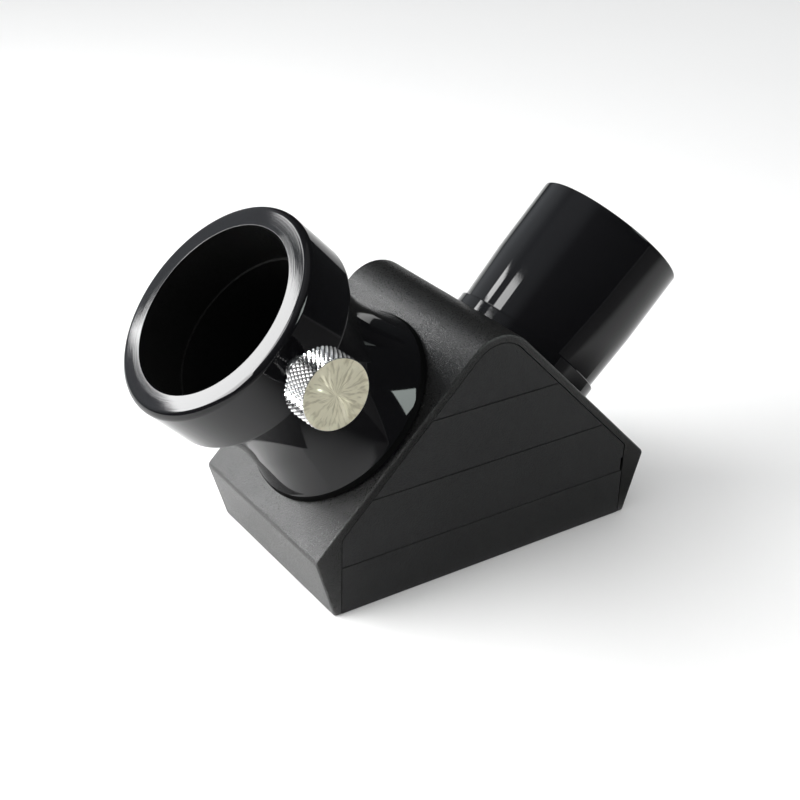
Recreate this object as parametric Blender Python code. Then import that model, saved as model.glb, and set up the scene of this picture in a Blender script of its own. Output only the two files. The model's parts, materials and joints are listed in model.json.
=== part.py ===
"""Star diagonal for 1.25 inch eyepieces: a prism housing that turns the light path through 90 degrees.

The origin is the centre of the base's underside. X runs along the base, from the eyepiece side (-X) to the
telescope side (+X), Y is across the housing and Z is up. Lengths are in metres and angles in radians.
The two optical axes cross on the mirror's front surface, and `reach` is a distance from there along an axis.
"""

import math

import bmesh
import bpy
from mathutils import Matrix, Vector

# Standards: the 1.25 inch barrel and the filter thread in its mouth.
BARREL_RADIUS = 0.015875
FILTER_THREAD_RADIUS = 0.01425

# Housing, seen from the side: a right-angled ridge on a base with undercut ends.
HOUSING_HALF_WIDTH = 0.0206
BASE_HALF_LENGTH = 0.0345
KNEE_HALF_LENGTH = 0.0386
KNEE_HEIGHT = 0.0123
APEX_HEIGHT = KNEE_HALF_LENGTH + KNEE_HEIGHT
RIDGE_RADIUS = 0.0084
KNEE_RADIUS = 0.0012
UNDERCUT_ANGLE = math.radians(18)
WALL = 0.0030
RIM_BEVEL = 0.0004
CAVITY_HALF_LENGTH = 0.0319

# Side panels and base cover, set flush into the housing.
SEAM = 0.0003
PANEL_INSET = 0.00156
PANEL_HALF_LENGTH = 0.0329
PANEL_THICKNESS = 0.0017
GROOVE_HEIGHTS = (0.0343, 0.0220)
GROOVE_WIDTH = 0.0004
GROOVE_DEPTH = 0.0004
SKIRT_HEIGHT = 0.0099
NOTCH_WIDTH = 0.0006
NOTCH_HEIGHT = 0.0030
TAB_LENGTH = 0.0050
TAB_DEPTH = 0.0040
TAB_THICKNESS = 0.0012
TAB_OFFSET = 0.0160
COVER_THICKNESS = 0.0022

# Fasteners.
BOSS_X = 0.0284
BOSS_Y = 0.0125
BOSS_RADIUS = 0.0030
BOSS_TOP = 0.0105
WEB_WIDTH = 0.0036
BASE_SCREW_RADIUS = 0.0015
BASE_SCREW_HEAD_RADIUS = 0.0027
BASE_SCREW_LENGTH = 0.0088
BASE_SCREW_SINK = 0.00024
BASE_RECESS_SIZE = 0.0015
BASE_RECESS_DEPTH = 0.0010
CLIP_SCREW_X = 0.0227
CLIP_SCREW_RADIUS = 0.0010
CLIP_SCREW_HEAD_RADIUS = 0.0018
CLIP_SCREW_HEAD_HEIGHT = 0.0012
CLIP_RECESS_SIZE = 0.0011
CLIP_RECESS_DEPTH = 0.0006
RECESS_WIDTH = 0.0005

# Mirror group, stacked up from the base cover.
MIRROR_HEIGHT = 0.00925
MIRROR_HALF_LENGTH = 0.0205
MIRROR_HALF_WIDTH = 0.0150
MIRROR_THICKNESS = 0.0040
PAD_THICKNESS = 0.0010
CELL_HALF_LENGTH = 0.0246
CELL_HALF_WIDTH = 0.0166
CELL_TOP = 0.0089
CLIP_HALF_WIDTH = 0.0040
CLIP_THICKNESS = 0.0004
CLIP_OVERLAP = 0.0010
CLIP_BEND_OFFSET = 0.0002
CLIP_BEND_LENGTH = 0.0004

# Tubes, by their reach along the optical axes.
FACE_REACH = (APEX_HEIGHT - MIRROR_HEIGHT) / math.sqrt(2)
SEAT_REACH = FACE_REACH + SEAM
SPIGOT_REACH = 0.0218
LIGHT_PATH_RADIUS = 0.0134
HOLDER_SPIGOT_RADIUS = 0.0163
NOSE_SPIGOT_RADIUS = 0.0148
LOCK_RING_HEIGHT = 0.0039
LOCK_RING_WIDTH = 0.0018

HOLDER_FACE_REACH = 0.0652
HOLDER_MOUTH_RADIUS = 0.0164
HOLDER_BORE_RADIUS = 0.01595
HOLDER_STEP_REACH = 0.0547
HOLDER_STOP_REACH = 0.0360
COLLAR_RADIUS = 0.0207
COLLAR_BACK_REACH = 0.05387
COLLAR_EDGE_RADIUS = 0.0012
NECK_RADIUS = 0.0174
FLARE_RIM_RADIUS = 0.0193
FLARE_RIM_REACH = 0.03105
FLANGE_RADIUS = 0.0201
FLARE_POWER = 2.2

NOSE_END_REACH = 0.0603
NOSE_SHOULDER_RADIUS = 0.01605
NOSE_SHOULDER_REACH = 0.03275
NOSE_WAIST_RADIUS = 0.01542
NOSE_TAPER_REACH = 0.0446
FILTER_THREAD_DEPTH = 0.0045

# Thumb screw, by its distance from the eyepiece axis.
SCREW_REACH = 0.05865
SCREW_CLOCKING = math.radians(1.83)
STUD_RADIUS = 0.0025
HEAD_RADIUS = 0.00626
HEAD_BACK = 0.02575
HEAD_FRONT = 0.03130
HEAD_CHAMFER = 0.0004
TIP_FRONT = 0.0165
TIP_LENGTH = 0.0011
TIP_RADIUS = 0.0019
TIP_PEG_RADIUS = 0.0011
TIP_PEG_LENGTH = 0.0018

TUBE_SEGMENTS = 56
SCREW_SEGMENTS = 40
SMALL_SEGMENTS = 20

OPTICAL_CENTRE = Vector((0, 0, MIRROR_HEIGHT))
EYEPIECE_AXIS = Vector((-1, 0, 1)).normalized()
NOSE_AXIS = Vector((1, 0, 1)).normalized()
SCREW_AXIS = Vector((0, -math.cos(SCREW_CLOCKING), 0)) + NOSE_AXIS * math.sin(SCREW_CLOCKING)


def clear_scene():
    for existing in list(bpy.data.objects):
        bpy.data.objects.remove(existing, do_unlink=True)


def material(name, colour, roughness, metallic):
    made = bpy.data.materials.new(name)
    made.use_nodes = True
    shader = made.node_tree.nodes["Principled BSDF"]
    shader.inputs["Base Color"].default_value = (*colour, 1)
    shader.inputs["Roughness"].default_value = roughness
    shader.inputs["Metallic"].default_value = metallic
    return made


def add_object(name, bm, finish=None):
    """Turns a bmesh into a named object. One without a finish is a cutter."""
    bmesh.ops.recalc_face_normals(bm, faces=bm.faces)
    mesh = bpy.data.meshes.new(name)
    bm.to_mesh(mesh)
    bm.free()
    mesh.shade_smooth()
    mesh.set_sharp_from_angle(angle=math.radians(30))
    piece = bpy.data.objects.new(name, mesh)
    bpy.context.scene.collection.objects.link(piece)
    if finish:
        mesh.materials.append(finish)
    else:
        piece.hide_render = True
        piece.display_type = "WIRE"
    return piece


def combine(target, tool, operation):
    modifier = target.modifiers.new(tool.name, "BOOLEAN")
    modifier.operation = operation
    modifier.solver = "EXACT"
    modifier.object = tool


def aim(piece, origin, axis):
    """Puts the piece's own origin at a point and its own Z along an axis."""
    piece.location = origin
    piece.rotation_euler = axis.to_track_quat("Z", "Y").to_euler()


def box(low, high):
    """A box between two corners."""
    bm = bmesh.new()
    bmesh.ops.create_cube(bm, size=1)
    low, high = Vector(low), Vector(high)
    place = Matrix.Translation((low + high) / 2) @ Matrix.Diagonal((*(high - low), 1))
    bmesh.ops.transform(bm, matrix=place, verts=bm.verts)
    return bm


def prism(outline, low, high, along="Y"):
    """Extrudes a closed outline along one axis. Its points are on the other two axes, in their order."""
    bm = bmesh.new()
    loops = []
    for end in (low, high):
        loop = []
        for first, second in outline:
            place = {"X": (end, first, second), "Y": (first, end, second), "Z": (first, second, end)}[along]
            loop.append(bm.verts.new(place))
        loops.append(loop)
    count = len(outline)
    for i in range(count):
        j = (i + 1) % count
        bm.faces.new((loops[0][i], loops[0][j], loops[1][j], loops[1][i]))
    for loop in loops:
        bm.faces.new(loop)
    return bm


def turned(profile, segments):
    """Turns a closed profile of (radius, height) points about Z. A radius of zero is a pole."""
    bm = bmesh.new()
    rings = []
    for radius, height in profile:
        if radius == 0:
            rings.append([bm.verts.new((0, 0, height))] * segments)
            continue
        turns = [2 * math.pi * i / segments for i in range(segments)]
        rings.append([bm.verts.new((radius * math.cos(a), radius * math.sin(a), height)) for a in turns])
    for ring, following in zip(rings, rings[1:] + rings[:1]):
        if ring[0] is ring[1] and following[0] is following[1]:
            continue
        for i in range(segments):
            j = (i + 1) % segments
            corners = [ring[i], ring[j], following[j], following[i]]
            bm.faces.new(list(dict.fromkeys(corners)))
    return bm


def arc(centre, radius, start, end, steps):
    """Points on an arc, with angles measured from the first coordinate's axis."""
    angles = [start + (end - start) * i / steps for i in range(steps + 1)]
    return [(centre[0] + radius * math.cos(a), centre[1] + radius * math.sin(a)) for a in angles]


def ridge_arc(apex, radius, steps=8):
    centre = (0, apex - radius * math.sqrt(2))
    return arc(centre, radius, math.radians(45), math.radians(135), steps)


def wedge(inset, half_length, floor):
    """The housing's outline moved inwards by inset, with upright ends and a flat floor."""
    apex = APEX_HEIGHT - inset * math.sqrt(2)
    shoulder = apex - half_length
    ridge = ridge_arc(apex, RIDGE_RADIUS - inset)
    left, right = -half_length, half_length
    return [(right, floor), (right, shoulder), *ridge, (left, shoulder), (left, floor)]


def housing_outline():
    """The profile across the ridge. The knee's arc meets the slope and the undercut below it."""
    knee_centre = (KNEE_HALF_LENGTH - KNEE_RADIUS * math.sqrt(2), KNEE_HEIGHT)
    knee = arc(knee_centre, KNEE_RADIUS, -UNDERCUT_ANGLE, math.radians(45), 4)
    mirrored = [(-x, z) for x, z in reversed(knee)]
    ridge = ridge_arc(APEX_HEIGHT, RIDGE_RADIUS, steps=12)
    return [(BASE_HALF_LENGTH, 0), *knee, *ridge, *mirrored, (-BASE_HALF_LENGTH, 0)]


def bevelled_prism(outline, half_width, bevel):
    bm = prism(outline, -half_width, half_width)
    bmesh.ops.recalc_face_normals(bm, faces=bm.faces)
    rims = [e for e in bm.edges if abs(e.verts[0].co.y - e.verts[1].co.y) < bevel]
    bmesh.ops.bevel(bm, geom=rims, offset=bevel, segments=2, profile=0.5, affect="EDGES")
    return bm


def build_housing(finish):
    solid = bevelled_prism(housing_outline(), HOUSING_HALF_WIDTH, RIM_BEVEL)
    housing = add_object("housing", solid, finish)

    inside = HOUSING_HALF_WIDTH - PANEL_THICKNESS - SEAM
    cavity = prism(wedge(WALL, CAVITY_HALF_LENGTH, -WALL), -inside - SEAM, inside + SEAM)
    combine(housing, add_object("cavity cutter", cavity), "DIFFERENCE")

    recess_half_length = PANEL_HALF_LENGTH + SEAM / 2
    recess = wedge(PANEL_INSET - SEAM / 2, recess_half_length, -WALL)
    for side in (-1, 1):
        low, high = sorted((side * inside, side * (HOUSING_HALF_WIDTH + WALL)))
        cutter = add_object("panel recess cutter", prism(recess, low, high))
        combine(housing, cutter, "DIFFERENCE")

    beyond = HOUSING_HALF_WIDTH + WALL
    floor_top = COVER_THICKNESS + SEAM
    low, high = (-recess_half_length, -beyond, -WALL), (recess_half_length, beyond, floor_top)
    combine(housing, add_object("cover recess cutter", box(low, high)), "DIFFERENCE")

    for name, axis, radius in (
        ("holder opening cutter", EYEPIECE_AXIS, HOLDER_SPIGOT_RADIUS),
        ("nose opening cutter", NOSE_AXIS, NOSE_SPIGOT_RADIUS),
    ):
        start, end = FACE_REACH - 2 * WALL, FACE_REACH + WALL
        opening = turned([(0, start), (radius + SEAM, start), (radius + SEAM, end), (0, end)], TUBE_SEGMENTS)
        cutter = add_object(name, opening)
        aim(cutter, OPTICAL_CENTRE, axis)
        combine(housing, cutter, "DIFFERENCE")

    for index, (side_x, side_y) in enumerate(((-1, -1), (1, -1), (1, 1), (-1, 1)), start=1):
        boss = turned([(0, floor_top), (BOSS_RADIUS, floor_top), (BOSS_RADIUS, BOSS_TOP), (0, BOSS_TOP)],
                      SMALL_SEGMENTS)
        bmesh.ops.translate(boss, verts=boss.verts, vec=(side_x * BOSS_X, side_y * BOSS_Y, 0))
        boss_tool = add_object(f"boss {index}", boss)
        combine(housing, boss_tool, "UNION")

        near, far = sorted((side_x * BOSS_X, side_x * (CAVITY_HALF_LENGTH + SEAM)))
        web_half = WEB_WIDTH / 2
        web = box((near, side_y * BOSS_Y - web_half, floor_top + SEAM),
                  (far, side_y * BOSS_Y + web_half, BOSS_TOP - SEAM))
        combine(housing, add_object(f"boss web {index}", web), "UNION")

        hole_radius = BASE_SCREW_RADIUS + SEAM
        hole_end = BASE_SCREW_LENGTH + 2 * SEAM
        hole = turned([(0, 0), (hole_radius, 0), (hole_radius, hole_end), (0, hole_end)], SMALL_SEGMENTS)
        bmesh.ops.translate(hole, verts=hole.verts, vec=(side_x * BOSS_X, side_y * BOSS_Y, 0))
        combine(housing, add_object(f"boss hole {index}", hole), "DIFFERENCE")


def panel_tab(side_x, side_y, offset):
    """A snap tab that reaches in under a sloping wall of the housing."""
    half = Vector((TAB_LENGTH, TAB_DEPTH, TAB_THICKNESS)) / 2
    tab = box(-half, half)
    reach = FACE_REACH - WALL - SEAM - TAB_THICKNESS / 2
    axis, along = (NOSE_AXIS, EYEPIECE_AXIS) if side_x > 0 else (EYEPIECE_AXIS, NOSE_AXIS)
    place = OPTICAL_CENTRE + axis * reach + along * offset
    inner_face = HOUSING_HALF_WIDTH - PANEL_THICKNESS
    place.y = side_y * (inner_face - TAB_DEPTH / 2 + SEAM)
    turn = Matrix.Rotation(side_x * math.radians(45), 4, "Y")
    bmesh.ops.transform(tab, matrix=Matrix.Translation(place) @ turn, verts=tab.verts)
    return tab


def build_side_panel(name, side_y, finish):
    outline = wedge(PANEL_INSET + SEAM / 2, PANEL_HALF_LENGTH - SEAM / 2, SKIRT_HEIGHT + SEAM / 2)
    inner_face = HOUSING_HALF_WIDTH - PANEL_THICKNESS
    low, high = sorted((side_y * inner_face, side_y * HOUSING_HALF_WIDTH))
    panel = add_object(name, prism(outline, low, high), finish)

    beyond = HOUSING_HALF_WIDTH + WALL
    half = GROOVE_WIDTH / 2
    cut_low, cut_high = sorted((side_y * (HOUSING_HALF_WIDTH - GROOVE_DEPTH), side_y * beyond))
    for height in GROOVE_HEIGHTS:
        groove = box((-KNEE_HALF_LENGTH, cut_low, height - half),
                     (KNEE_HALF_LENGTH, cut_high, height + half))
        combine(panel, add_object(f"{name} groove cutter", groove), "DIFFERENCE")

    notch = box((PANEL_HALF_LENGTH - NOTCH_WIDTH, -beyond, 0),
                (KNEE_HALF_LENGTH, beyond, SKIRT_HEIGHT + NOTCH_HEIGHT))
    combine(panel, add_object(f"{name} notch cutter", notch), "DIFFERENCE")

    for side_x in (-1, 1):
        for offset in (-TAB_OFFSET, TAB_OFFSET):
            tab = add_object(f"{name} tab", panel_tab(side_x, side_y, offset))
            combine(panel, tab, "UNION")


def build_base_cover(finish):
    """A channel: the floor of the housing, with a skirt up each side."""
    outer = HOUSING_HALF_WIDTH
    inner = HOUSING_HALF_WIDTH - PANEL_THICKNESS
    top = SKIRT_HEIGHT - SEAM / 2
    outline = [(-outer, 0), (outer, 0), (outer, top), (inner, top), (inner, COVER_THICKNESS),
               (-inner, COVER_THICKNESS), (-inner, top), (-outer, top)]
    half_length = PANEL_HALF_LENGTH - SEAM / 2
    cover = add_object("base_cover", prism(outline, -half_length, half_length, along="X"), finish)

    head = BASE_SCREW_HEAD_RADIUS + SEAM
    shank = BASE_SCREW_RADIUS + SEAM
    cone_height = BASE_SCREW_HEAD_RADIUS - BASE_SCREW_RADIUS
    profile = [(0, -WALL), (head, -WALL), (head, SEAM), (shank, SEAM + cone_height), (shank, WALL), (0, WALL)]
    for side_x in (-1, 1):
        for side_y in (-1, 1):
            sink = turned(profile, SMALL_SEGMENTS)
            bmesh.ops.translate(sink, verts=sink.verts, vec=(side_x * BOSS_X, side_y * BOSS_Y, 0))
            combine(cover, add_object("countersink cutter", sink), "DIFFERENCE")
        radius = CLIP_SCREW_RADIUS + SEAM
        hole = turned([(0, 2 * SEAM), (radius, 2 * SEAM), (radius, WALL), (0, WALL)], SMALL_SEGMENTS)
        bmesh.ops.translate(hole, verts=hole.verts, vec=(side_x * CLIP_SCREW_X, 0, 0))
        combine(cover, add_object("clip screw hole cutter", hole), "DIFFERENCE")


def cross_outline(size):
    """A plus sign with arms of the recess's width."""
    half = RECESS_WIDTH / 2
    corner = [(half, half), (half, size), (-half, size)]
    outline = []
    for quarter in range(4):
        turn = Matrix.Rotation(quarter * math.radians(90), 2)
        outline += [tuple(turn @ Vector(point)) for point in corner]
    return outline


def add_screw(name, profile, place, recess_size, recess_height, recess_depth, finish):
    screw = add_object(name, turned(profile, SMALL_SEGMENTS), finish)
    screw.location = place
    low, high = recess_height - recess_depth, recess_height + recess_depth
    cutter = add_object(f"{name} recess cutter", prism(cross_outline(recess_size), low, high, along="Z"))
    cutter.location = place
    combine(screw, cutter, "DIFFERENCE")


def build_base_screws(finish):
    sink = BASE_SCREW_SINK
    cone_top = sink + BASE_SCREW_HEAD_RADIUS - BASE_SCREW_RADIUS
    profile = [(0, sink), (BASE_SCREW_HEAD_RADIUS, sink), (BASE_SCREW_RADIUS, cone_top),
               (BASE_SCREW_RADIUS, BASE_SCREW_LENGTH), (0, BASE_SCREW_LENGTH)]
    corners = ((-1, -1), (1, -1), (1, 1), (-1, 1))
    for index, (side_x, side_y) in enumerate(corners, start=1):
        place = (side_x * BOSS_X, side_y * BOSS_Y, 0)
        add_screw(f"base_screw_{index}", profile, place, BASE_RECESS_SIZE, sink, BASE_RECESS_DEPTH, finish)


def build_mirror_group(cell_finish, pad_finish, mirror_finish, clip_finish, screw_finish):
    mirror_back = MIRROR_HEIGHT - MIRROR_THICKNESS
    pad_low = mirror_back - SEAM - PAD_THICKNESS
    floor = pad_low - SEAM
    bottom = COVER_THICKNESS + SEAM

    cell_low = (-CELL_HALF_LENGTH, -CELL_HALF_WIDTH, bottom)
    cell_high = (CELL_HALF_LENGTH, CELL_HALF_WIDTH, CELL_TOP)
    cell = add_object("mirror_cell", box(cell_low, cell_high), cell_finish)
    pocket_x, pocket_y = MIRROR_HALF_LENGTH + SEAM, MIRROR_HALF_WIDTH + SEAM
    pocket = box((-pocket_x, -pocket_y, floor), (pocket_x, pocket_y, CELL_TOP + WALL))
    combine(cell, add_object("cell pocket cutter", pocket), "DIFFERENCE")

    pad_x, pad_y = MIRROR_HALF_LENGTH - WALL, MIRROR_HALF_WIDTH - WALL
    pad = box((-pad_x, -pad_y, pad_low), (pad_x, pad_y, pad_low + PAD_THICKNESS))
    add_object("mirror_pad", pad, pad_finish)

    mirror = box((-MIRROR_HALF_LENGTH, -MIRROR_HALF_WIDTH, mirror_back),
                 (MIRROR_HALF_LENGTH, MIRROR_HALF_WIDTH, MIRROR_HEIGHT))
    add_object("mirror", mirror, mirror_finish)

    hold = MIRROR_HEIGHT + SEAM
    foot = CELL_TOP + SEAM
    overlap = MIRROR_HALF_LENGTH - CLIP_OVERLAP
    clip_end = CELL_HALF_LENGTH - SEAM
    bend_start = MIRROR_HALF_LENGTH + CLIP_BEND_OFFSET
    bend_end = bend_start + CLIP_BEND_LENGTH
    for name, side_x in (("left", -1), ("right", 1)):
        under = [(overlap, hold), (bend_start, hold), (bend_end, foot), (clip_end, foot)]
        over = [(x, z + CLIP_THICKNESS) for x, z in reversed(under)]
        outline = [(side_x * x, z) for x, z in under + over]
        strip = prism(outline, -CLIP_HALF_WIDTH, CLIP_HALF_WIDTH)
        clip = add_object(f"mirror_clip_{name}", strip, clip_finish)

        place = (side_x * CLIP_SCREW_X, 0, 0)
        radius = CLIP_SCREW_RADIUS + SEAM
        hole_end = CELL_TOP + WALL
        hole = turned([(0, 0), (radius, 0), (radius, hole_end), (0, hole_end)], SMALL_SEGMENTS)
        drill = add_object(f"clip {name} screw hole cutter", hole)
        drill.location = place
        combine(cell, drill, "DIFFERENCE")
        combine(clip, drill, "DIFFERENCE")

        head_low = foot + CLIP_THICKNESS + SEAM
        head_high = head_low + CLIP_SCREW_HEAD_HEIGHT
        bottom_end = 3 * SEAM
        profile = [(0, bottom_end), (CLIP_SCREW_RADIUS, bottom_end), (CLIP_SCREW_RADIUS, head_low),
                   (CLIP_SCREW_HEAD_RADIUS, head_low), (CLIP_SCREW_HEAD_RADIUS, head_high - SEAM),
                   (CLIP_SCREW_HEAD_RADIUS - SEAM, head_high), (0, head_high)]
        add_screw(f"clip_screw_{name}", profile, place, CLIP_RECESS_SIZE, head_high, CLIP_RECESS_DEPTH,
                  screw_finish)


def flare_radius(reach):
    """The neck's bell: thinnest under the collar, widest at the flange."""
    along = (COLLAR_BACK_REACH - reach) / (COLLAR_BACK_REACH - FLARE_RIM_REACH)
    return NECK_RADIUS + (FLARE_RIM_RADIUS - NECK_RADIUS) * along ** FLARE_POWER


def build_eyepiece_holder(finish):
    flare_steps = 8
    length = COLLAR_BACK_REACH - FLARE_RIM_REACH
    flare = [FLARE_RIM_REACH + length * i / flare_steps for i in range(flare_steps + 1)]
    edge = COLLAR_EDGE_RADIUS
    edge_centre = (COLLAR_RADIUS - edge, HOLDER_FACE_REACH - edge)
    profile = [
        (LIGHT_PATH_RADIUS, SPIGOT_REACH),
        (HOLDER_SPIGOT_RADIUS, SPIGOT_REACH),
        (HOLDER_SPIGOT_RADIUS, SEAT_REACH),
        (FLANGE_RADIUS, SEAT_REACH),
        *[(flare_radius(reach), reach) for reach in flare],
        (COLLAR_RADIUS - SEAM, COLLAR_BACK_REACH),
        (COLLAR_RADIUS, COLLAR_BACK_REACH + SEAM),
        *arc(edge_centre, edge, 0, math.radians(90), 4),
        (HOLDER_MOUTH_RADIUS, HOLDER_FACE_REACH),
        (HOLDER_MOUTH_RADIUS, HOLDER_STEP_REACH),
        (HOLDER_BORE_RADIUS, HOLDER_STEP_REACH - SEAM),
        (HOLDER_BORE_RADIUS, HOLDER_STOP_REACH),
        (LIGHT_PATH_RADIUS, HOLDER_STOP_REACH),
    ]
    holder = add_object("eyepiece_holder", turned(profile, TUBE_SEGMENTS), finish)
    aim(holder, OPTICAL_CENTRE, EYEPIECE_AXIS)

    radius = STUD_RADIUS + SEAM
    hole_end = COLLAR_RADIUS + WALL
    hole = turned([(0, 0), (radius, 0), (radius, hole_end), (0, hole_end)], SMALL_SEGMENTS)
    drill = add_object("thumb screw hole cutter", hole)
    aim(drill, OPTICAL_CENTRE + EYEPIECE_AXIS * SCREW_REACH, SCREW_AXIS)
    combine(holder, drill, "DIFFERENCE")


def build_nose_tube(finish):
    end = NOSE_END_REACH
    profile = [
        (LIGHT_PATH_RADIUS, SPIGOT_REACH),
        (NOSE_SPIGOT_RADIUS, SPIGOT_REACH),
        (NOSE_SPIGOT_RADIUS, SEAT_REACH),
        (NOSE_SHOULDER_RADIUS, SEAT_REACH),
        (NOSE_SHOULDER_RADIUS, NOSE_SHOULDER_REACH),
        (NOSE_WAIST_RADIUS, NOSE_SHOULDER_REACH),
        (BARREL_RADIUS, NOSE_TAPER_REACH),
        (BARREL_RADIUS, end - SEAM),
        (BARREL_RADIUS - SEAM, end),
        (FILTER_THREAD_RADIUS, end),
        (FILTER_THREAD_RADIUS, end - FILTER_THREAD_DEPTH),
        (LIGHT_PATH_RADIUS, end - FILTER_THREAD_DEPTH),
    ]
    nose = add_object("nose_tube", turned(profile, TUBE_SEGMENTS), finish)
    aim(nose, OPTICAL_CENTRE, NOSE_AXIS)


def build_lock_ring(name, axis, spigot_radius, finish):
    """The threaded ring that draws a tube's shoulder against the housing from inside."""
    inner = spigot_radius + SEAM
    outer = inner + LOCK_RING_WIDTH
    high = FACE_REACH - WALL - SEAM
    low = high - LOCK_RING_HEIGHT
    profile = [(inner, low), (outer, low), (outer, high), (inner, high)]
    ring = add_object(name, turned(profile, TUBE_SEGMENTS), finish)
    aim(ring, OPTICAL_CENTRE, axis)


def build_thumb_screw(screw_finish, tip_finish):
    """The screw and its nylon tip. Heights along the screw are distances from the collar's surface."""
    start = OPTICAL_CENTRE + EYEPIECE_AXIS * SCREW_REACH + SCREW_AXIS * COLLAR_RADIUS
    back, front = HEAD_BACK - COLLAR_RADIUS, HEAD_FRONT - COLLAR_RADIUS
    tip_front = TIP_FRONT - COLLAR_RADIUS
    tip_back = tip_front + TIP_LENGTH
    stud_end = tip_back + SEAM
    socket = TIP_PEG_RADIUS + SEAM
    socket_end = tip_back + TIP_PEG_LENGTH + SEAM
    profile = [
        (0, socket_end),
        (socket, socket_end),
        (socket, stud_end),
        (STUD_RADIUS - SEAM, stud_end),
        (STUD_RADIUS, stud_end + SEAM),
        (STUD_RADIUS, back),
        (HEAD_RADIUS - HEAD_CHAMFER, back),
        (HEAD_RADIUS, back + HEAD_CHAMFER),
        (HEAD_RADIUS, front - HEAD_CHAMFER),
        (HEAD_RADIUS - HEAD_CHAMFER, front),
        (0, front),
    ]
    screw = add_object("thumb_screw", turned(profile, SCREW_SEGMENTS), screw_finish)
    aim(screw, start, SCREW_AXIS)

    tip_profile = [
        (0, tip_front),
        (TIP_RADIUS, tip_front),
        (TIP_RADIUS, tip_back),
        (TIP_PEG_RADIUS, tip_back),
        (TIP_PEG_RADIUS, tip_back + TIP_PEG_LENGTH),
        (0, tip_back + TIP_PEG_LENGTH),
    ]
    tip = add_object("thumb_screw_tip", turned(tip_profile, SMALL_SEGMENTS), tip_finish)
    aim(tip, start, SCREW_AXIS)


def main():
    clear_scene()
    matt_black = material("matt black housing", (0.030, 0.031, 0.031), 0.55, 0.0)
    panel_black = material("charcoal panel", (0.032, 0.032, 0.033), 0.60, 0.0)
    gloss_black = material("gloss black tube", (0.008, 0.008, 0.009), 0.10, 0.0)
    chrome = material("polished chrome", (0.80, 0.80, 0.79), 0.12, 1.0)
    zinc = material("black zinc screw", (0.060, 0.060, 0.062), 0.35, 0.9)
    nylon = material("white nylon", (0.80, 0.80, 0.77), 0.45, 0.0)
    cell_black = material("moulded cell", (0.020, 0.020, 0.021), 0.50, 0.0)
    foam = material("foam pad", (0.050, 0.050, 0.052), 0.95, 0.0)
    silvered = material("silvered glass", (0.90, 0.91, 0.92), 0.02, 1.0)
    spring_steel = material("spring steel", (0.55, 0.55, 0.56), 0.30, 1.0)
    ring_black = material("anodised ring", (0.025, 0.025, 0.027), 0.35, 0.8)

    build_housing(matt_black)
    build_side_panel("side_panel_left", -1, panel_black)
    build_side_panel("side_panel_right", 1, panel_black)
    build_base_cover(panel_black)
    build_base_screws(zinc)
    build_mirror_group(cell_black, foam, silvered, spring_steel, zinc)
    build_eyepiece_holder(gloss_black)
    build_nose_tube(gloss_black)
    build_lock_ring("holder_lock_ring", EYEPIECE_AXIS, HOLDER_SPIGOT_RADIUS, ring_black)
    build_lock_ring("nose_lock_ring", NOSE_AXIS, NOSE_SPIGOT_RADIUS, ring_black)
    build_thumb_screw(chrome, nylon)


main()
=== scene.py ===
"""Looks of the star diagonal: fine meshes, procedural materials, studio light and camera.

Lengths are in metres and angles in radians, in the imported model's frame: X runs along the base towards the
telescope side, Y across the housing, Z up from the surface it stands on. The two optical axes cross on the
mirror's front, and `reach` is a distance from there along an axis.
"""

import json
import math

import bmesh
import bpy
from mathutils import Matrix, Vector, noise


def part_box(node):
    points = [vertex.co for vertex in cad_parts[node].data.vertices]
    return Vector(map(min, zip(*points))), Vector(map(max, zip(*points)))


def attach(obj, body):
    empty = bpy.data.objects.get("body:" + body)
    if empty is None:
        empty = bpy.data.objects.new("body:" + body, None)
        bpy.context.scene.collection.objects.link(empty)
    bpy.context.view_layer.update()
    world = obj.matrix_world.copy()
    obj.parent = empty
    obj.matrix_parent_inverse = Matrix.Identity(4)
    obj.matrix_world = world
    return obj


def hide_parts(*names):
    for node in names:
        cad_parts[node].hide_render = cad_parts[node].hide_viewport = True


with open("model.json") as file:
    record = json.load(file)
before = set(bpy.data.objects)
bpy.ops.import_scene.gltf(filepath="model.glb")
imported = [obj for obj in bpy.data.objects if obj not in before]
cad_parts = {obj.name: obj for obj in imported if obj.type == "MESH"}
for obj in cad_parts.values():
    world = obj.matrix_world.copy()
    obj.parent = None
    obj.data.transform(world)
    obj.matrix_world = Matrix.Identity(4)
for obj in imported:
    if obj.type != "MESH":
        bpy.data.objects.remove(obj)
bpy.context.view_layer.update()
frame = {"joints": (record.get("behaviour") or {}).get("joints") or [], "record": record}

# Seam, wall and edge sizes that several pieces share, and a right angle.
SEAM = 0.0003
PANEL_SEAM = 0.00016
PANEL_EDGE = 0.0001
WALL = 0.0030
FINE_EDGE = 0.00015
EDGE = 0.0003
QUARTER = math.radians(90)

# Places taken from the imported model.
MIRROR_LOW, MIRROR_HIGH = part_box("mirror")
HOUSING_LOW, HOUSING_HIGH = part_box("housing")
CELL_LOW, CELL_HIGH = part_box("mirror_cell")
PAD_LOW, PAD_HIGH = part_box("mirror_pad")
MOUNTS = {mount["name"]: mount for mount in frame["record"]["mounts"]}
JOINTS = {joint["name"]: joint for joint in frame["joints"]}

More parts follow.
